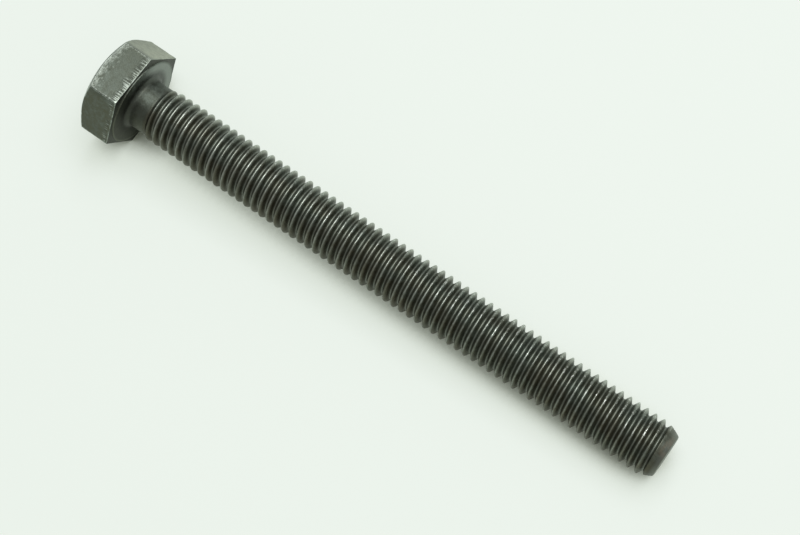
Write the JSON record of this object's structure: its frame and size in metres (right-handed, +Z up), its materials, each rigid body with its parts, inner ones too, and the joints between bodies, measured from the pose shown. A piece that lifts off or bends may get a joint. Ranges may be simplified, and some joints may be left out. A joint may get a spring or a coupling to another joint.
{
  "type": "hex head bolt",
  "caption": "Long hex-head main bearing cap bolt, threaded almost to the head, lying on its side.",
  "frame": {"origin": "on the table, under the middle of the bolt's bounding box as it lies at rest", "axes": "+X from the head towards the point, +Z up; the shank's axis slopes down 1.91 degrees towards the point, because the bolt rests on the edge under its head and on the last turn of thread"},
  "size_m": [0.1286, 0.022, 0.0193],
  "materials": {
    "steel": "dark phosphate-and-oil finish on forged and rolled steel, rubbed brighter along edges and thread crests"
  },
  "bodies": {
    "root": {"main_cap_bolt": "steel"}
  },
  "joints": []
}
